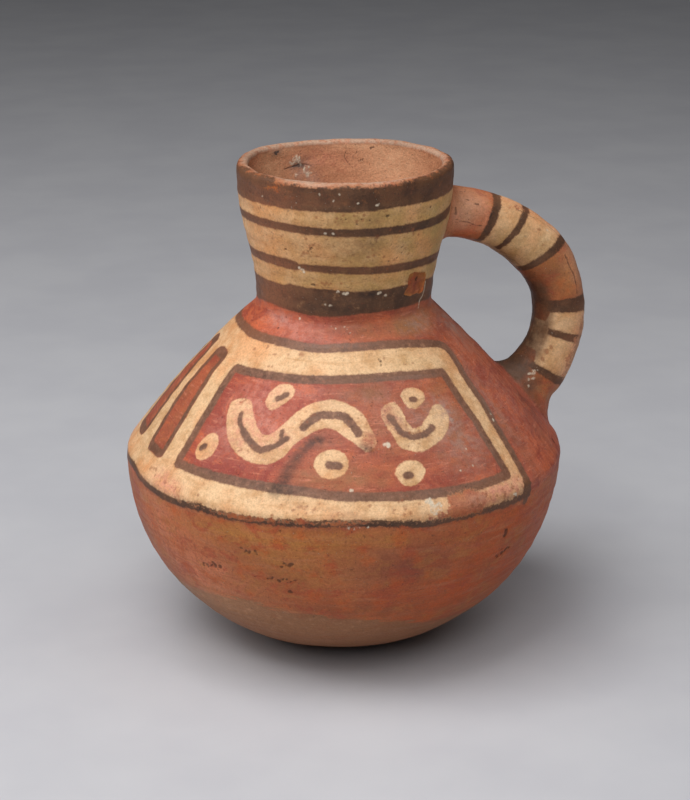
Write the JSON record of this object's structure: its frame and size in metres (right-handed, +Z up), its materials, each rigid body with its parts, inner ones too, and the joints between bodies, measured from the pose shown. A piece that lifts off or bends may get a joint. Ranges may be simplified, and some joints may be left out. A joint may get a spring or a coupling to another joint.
{
  "type": "handled bottle",
  "caption": "Hand-built earthenware jug: round-bottomed bowl, conical shoulder, wide flaring neck with a coiled rim, and one loop handle from neck to shoulder.",
  "frame": {"origin": "centre of the flat on the underside that the jug rests on", "axes": "+Z up along the axis of the body and neck, +X from that axis towards the handle, +Y to the side"},
  "size_m": [0.1622, 0.148, 0.167],
  "materials": {
    "bare_clay": "matt, slightly rubbed",
    "burnished_clay": "burnished satin",
    "red_slip": "burnished satin",
    "cream_slip": "burnished satin",
    "dark_slip": "burnished satin"
  },
  "bodies": {
    "root": {"base_pad": "bare_clay", "lower_bowl": "burnished_clay", "shoulder_cone": "red_slip", "neck_collar": "cream_slip", "rim_coil": "dark_slip", "handle_arch": "cream_slip", "upper_handle_luting": "cream_slip", "lower_handle_luting": "red_slip"}
  },
  "joints": []
}
